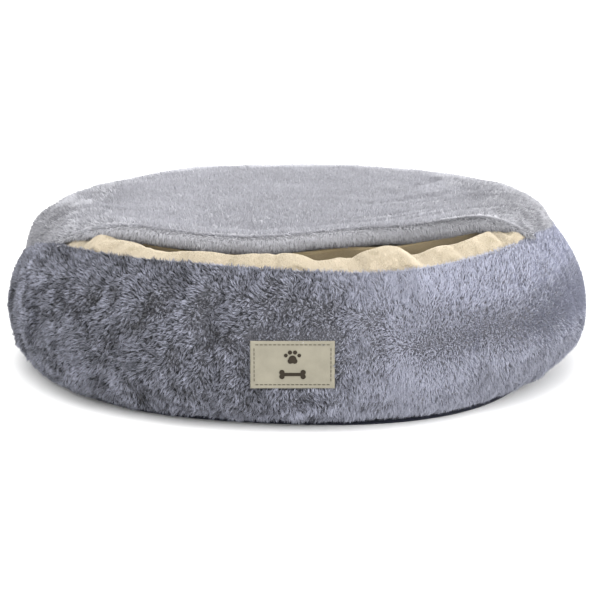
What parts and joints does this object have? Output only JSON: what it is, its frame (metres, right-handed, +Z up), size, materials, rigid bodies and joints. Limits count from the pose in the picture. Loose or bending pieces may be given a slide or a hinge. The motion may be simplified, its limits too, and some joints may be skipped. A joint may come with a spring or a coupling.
{
  "type": "hooded pet cushion bed",
  "caption": "Round soft pet bed: fur-covered ring wall, plush hood over the back and sides, fold-back front lip, fleece lining and loose cushion.",
  "frame": {"origin": "middle of the base, on the floor", "axes": "+Z up, mouth and label face -Y, +X to the right of someone facing the mouth"},
  "size_m": [0.5999, 0.5982, 0.174],
  "materials": {
    "long_fur": "long faux fur, soft pile lying downwards",
    "short_plush": "short dense plush pile",
    "beige_fleece": "brushed fleece",
    "white_fibre": "hollow polyester fibre",
    "base_cloth": "woven polyester with grip dots",
    "grey_thread": "sewing thread",
    "label_cloth": "woven satin label",
    "label_thread": "dark brown woven thread and print",
    "zip_tape_cloth": "woven zip tape",
    "zip_nylon": "moulded nylon coil",
    "zip_metal": "satin nickel",
    "white_satin": "printed-side-down satin care label, left blank"
  },
  "bodies": {
    "bed": {"base_panel": "base_cloth", "floor_pad": "white_fibre", "floor_lining": "beige_fleece", "wall_filling": "white_fibre", "wall_cover": "long_fur", "wall_lining": "beige_fleece", "base_seam": "grey_thread", "rim_seam": "grey_thread", "hood_panel": "short_plush", "hood_wadding": "white_fibre", "hood_lining": "beige_fleece", "corner_tacks": "grey_thread", "cushion_cover": "beige_fleece", "cushion_filling": "white_fibre", "zip_tape": "zip_tape_cloth", "zip_coil": "zip_nylon", "zip_stops": "zip_metal", "label_patch": "label_cloth", "label_stitching": "label_thread", "label_emblem": "label_thread", "care_label": "white_satin"},
    "lip": {"lip_panel": "short_plush", "lip_wadding": "white_fibre", "lip_lining": "beige_fleece", "lip_roll": "short_plush", "lip_roll_core": "white_fibre", "lip_stitching": "grey_thread"},
    "zip_slider": {"zip_slider": "zip_metal"},
    "zip_pull": {"zip_pull": "zip_metal"}
  },
  "joints": [
    {"name": "lip_fold", "type": "hinge", "parent": "bed", "child": "lip", "pos_m": [0, -0.148, 0.175], "axis": [-1, 0, 0], "range_deg": [0, 165]},
    {"name": "zip_travel", "type": "hinge", "parent": "bed", "child": "zip_slider", "pos_m": [0, 0, 0.036], "axis": [0, 0, 1], "range_deg": [0, 62]},
    {"name": "zip_pull_swing", "type": "hinge", "parent": "zip_slider", "child": "zip_pull", "pos_m": [0.09727, 0.16188, 0.036], "axis": [0, 0, -1], "range_deg": [0, 165]}
  ]
}
